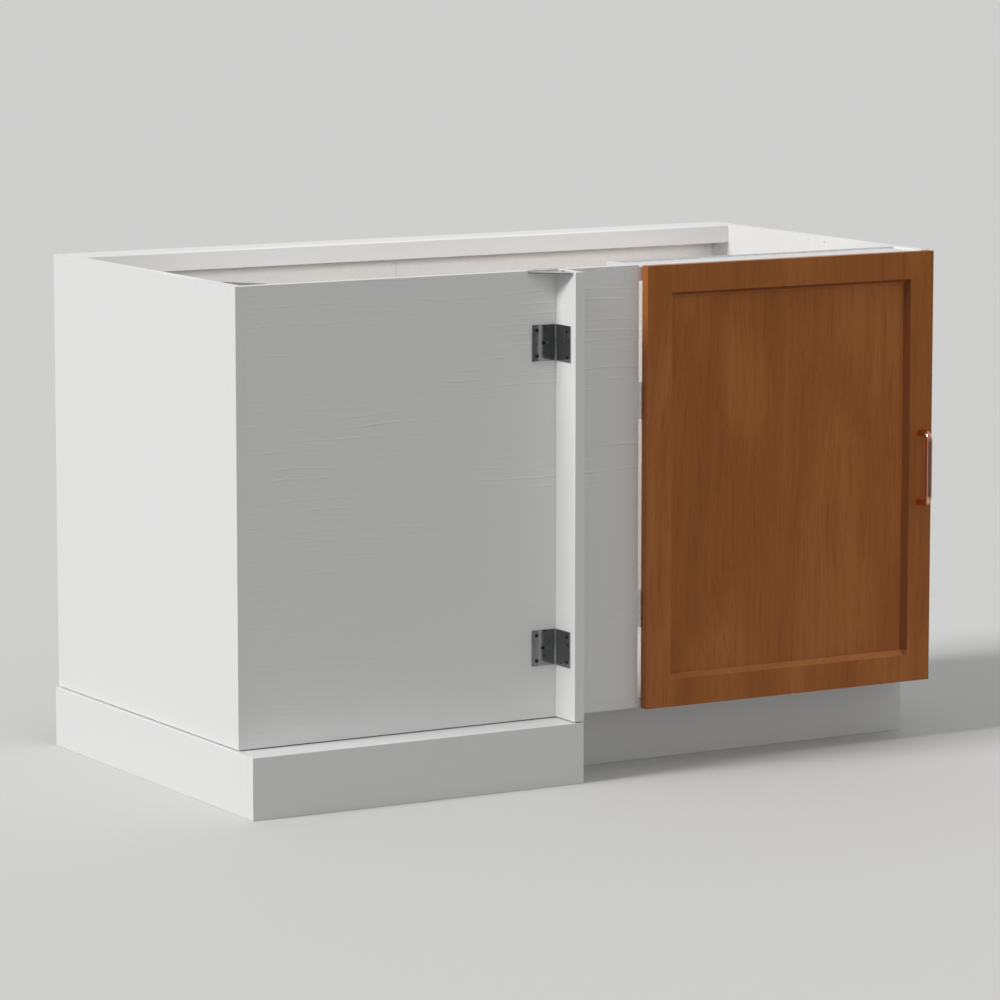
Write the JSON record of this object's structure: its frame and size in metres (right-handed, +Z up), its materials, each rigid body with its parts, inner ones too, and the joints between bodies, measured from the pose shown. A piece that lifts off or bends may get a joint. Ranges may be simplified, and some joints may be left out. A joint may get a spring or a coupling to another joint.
{
  "type": "corner kitchen cabinet",
  "caption": "Blind corner base cabinet: white carcass with a fixed blind panel, a spacer strip, a hinged framed wooden door with a bow handle, plinth boards and levelling legs.",
  "frame": {"origin": "on the floor, under the middle of the overall box", "axes": "+X to the right along the front, +Y to the back wall, +Z up"},
  "size_m": [1.3868, 0.7616, 0.876],
  "materials": {
    "white_laminate": "white foil with embossed grain, satin",
    "hardboard": "white-faced hardboard, matt",
    "raw_wood": "raw beech",
    "stained_wood": "brown stained wood, satin lacquer",
    "polished_steel": "polished dark steel",
    "galvanised_steel": "galvanised sheet",
    "screw_steel": "zinc plated",
    "dark_screw_steel": "blackened",
    "copper": "polished copper plate",
    "black_plastic": "moulded black plastic",
    "white_plastic": "moulded white plastic",
    "clear_rubber": "soft translucent rubber"
  },
  "bodies": {
    "cabinet": {"back_joint_strip": "white_plastic", "back_panel_left": "hardboard", "back_panel_right": "hardboard", "back_top_rail": "white_laminate", "blind_panel": "white_laminate", "bottom_panel": "white_laminate", "bracket_screws": "dark_screw_steel", "carcass_dowels": "raw_wood", "catch_poles": "galvanised_steel", "corner_plate_inner": "polished_steel", "corner_plate_left": "polished_steel", "corner_plate_spacer": "polished_steel", "front_top_rail": "galvanised_steel", "hinge_pin_lower": "galvanised_steel", "hinge_pin_upper": "galvanised_steel", "hinge_post": "white_laminate", "hinge_post_leaf_lower": "galvanised_steel", "hinge_post_leaf_upper": "galvanised_steel", "hinge_post_screws": "screw_steel", "left_side_panel": "white_laminate", "leg_sockets": "black_plastic", "magnetic_catch": "white_plastic", "plate_screws": "screw_steel", "plinth_cap": "white_laminate", "plinth_clips": "white_plastic", "plinth_corner_blocks": "raw_wood", "plinth_front": "white_laminate", "plinth_left": "white_laminate", "plinth_return": "white_laminate", "plinth_right": "white_laminate", "rail_screws": "screw_steel", "right_side_panel": "white_laminate", "spacer_bracket_lower": "polished_steel", "spacer_bracket_upper": "polished_steel", "spacer_strip": "white_laminate"},
    "door": {"door_stile_left": "stained_wood", "door_stile_right": "stained_wood", "door_rail_top": "stained_wood", "door_rail_bottom": "stained_wood", "door_panel": "stained_wood", "door_handle": "copper", "handle_screws": "screw_steel", "hinge_door_leaf_upper": "galvanised_steel", "hinge_door_leaf_lower": "galvanised_steel", "hinge_door_screws": "screw_steel", "door_bumpers": "clear_rubber", "catch_strike": "galvanised_steel"},
    "foot_back_left_body": {"foot_back_left": "black_plastic"},
    "foot_back_middle_body": {"foot_back_middle": "black_plastic"},
    "foot_back_right_body": {"foot_back_right": "black_plastic"},
    "foot_front_left_body": {"foot_front_left": "black_plastic"},
    "foot_front_middle_body": {"foot_front_middle": "black_plastic"},
    "foot_front_right_body": {"foot_front_right": "black_plastic"}
  },
  "joints": [
    {"name": "door_swing", "type": "hinge", "parent": "cabinet", "child": "door", "pos_m": [0.0904, -0.31995, 0.4625], "axis": [0, 0, -1], "range_deg": [0, 105]},
    {"name": "foot_back_left_level", "type": "slide", "parent": "cabinet", "child": "foot_back_left_body", "axis": [0, 0, -1], "range_m": [-0.01, 0.015]},
    {"name": "foot_back_middle_level", "type": "slide", "parent": "cabinet", "child": "foot_back_middle_body", "axis": [0, 0, -1], "range_m": [-0.01, 0.015]},
    {"name": "foot_back_right_level", "type": "slide", "parent": "cabinet", "child": "foot_back_right_body", "axis": [0, 0, -1], "range_m": [-0.01, 0.015]},
    {"name": "foot_front_left_level", "type": "slide", "parent": "cabinet", "child": "foot_front_left_body", "axis": [0, 0, -1], "range_m": [-0.01, 0.015]},
    {"name": "foot_front_middle_level", "type": "slide", "parent": "cabinet", "child": "foot_front_middle_body", "axis": [0, 0, -1], "range_m": [-0.01, 0.015]},
    {"name": "foot_front_right_level", "type": "slide", "parent": "cabinet", "child": "foot_front_right_body", "axis": [0, 0, -1], "range_m": [-0.01, 0.015]}
  ]
}
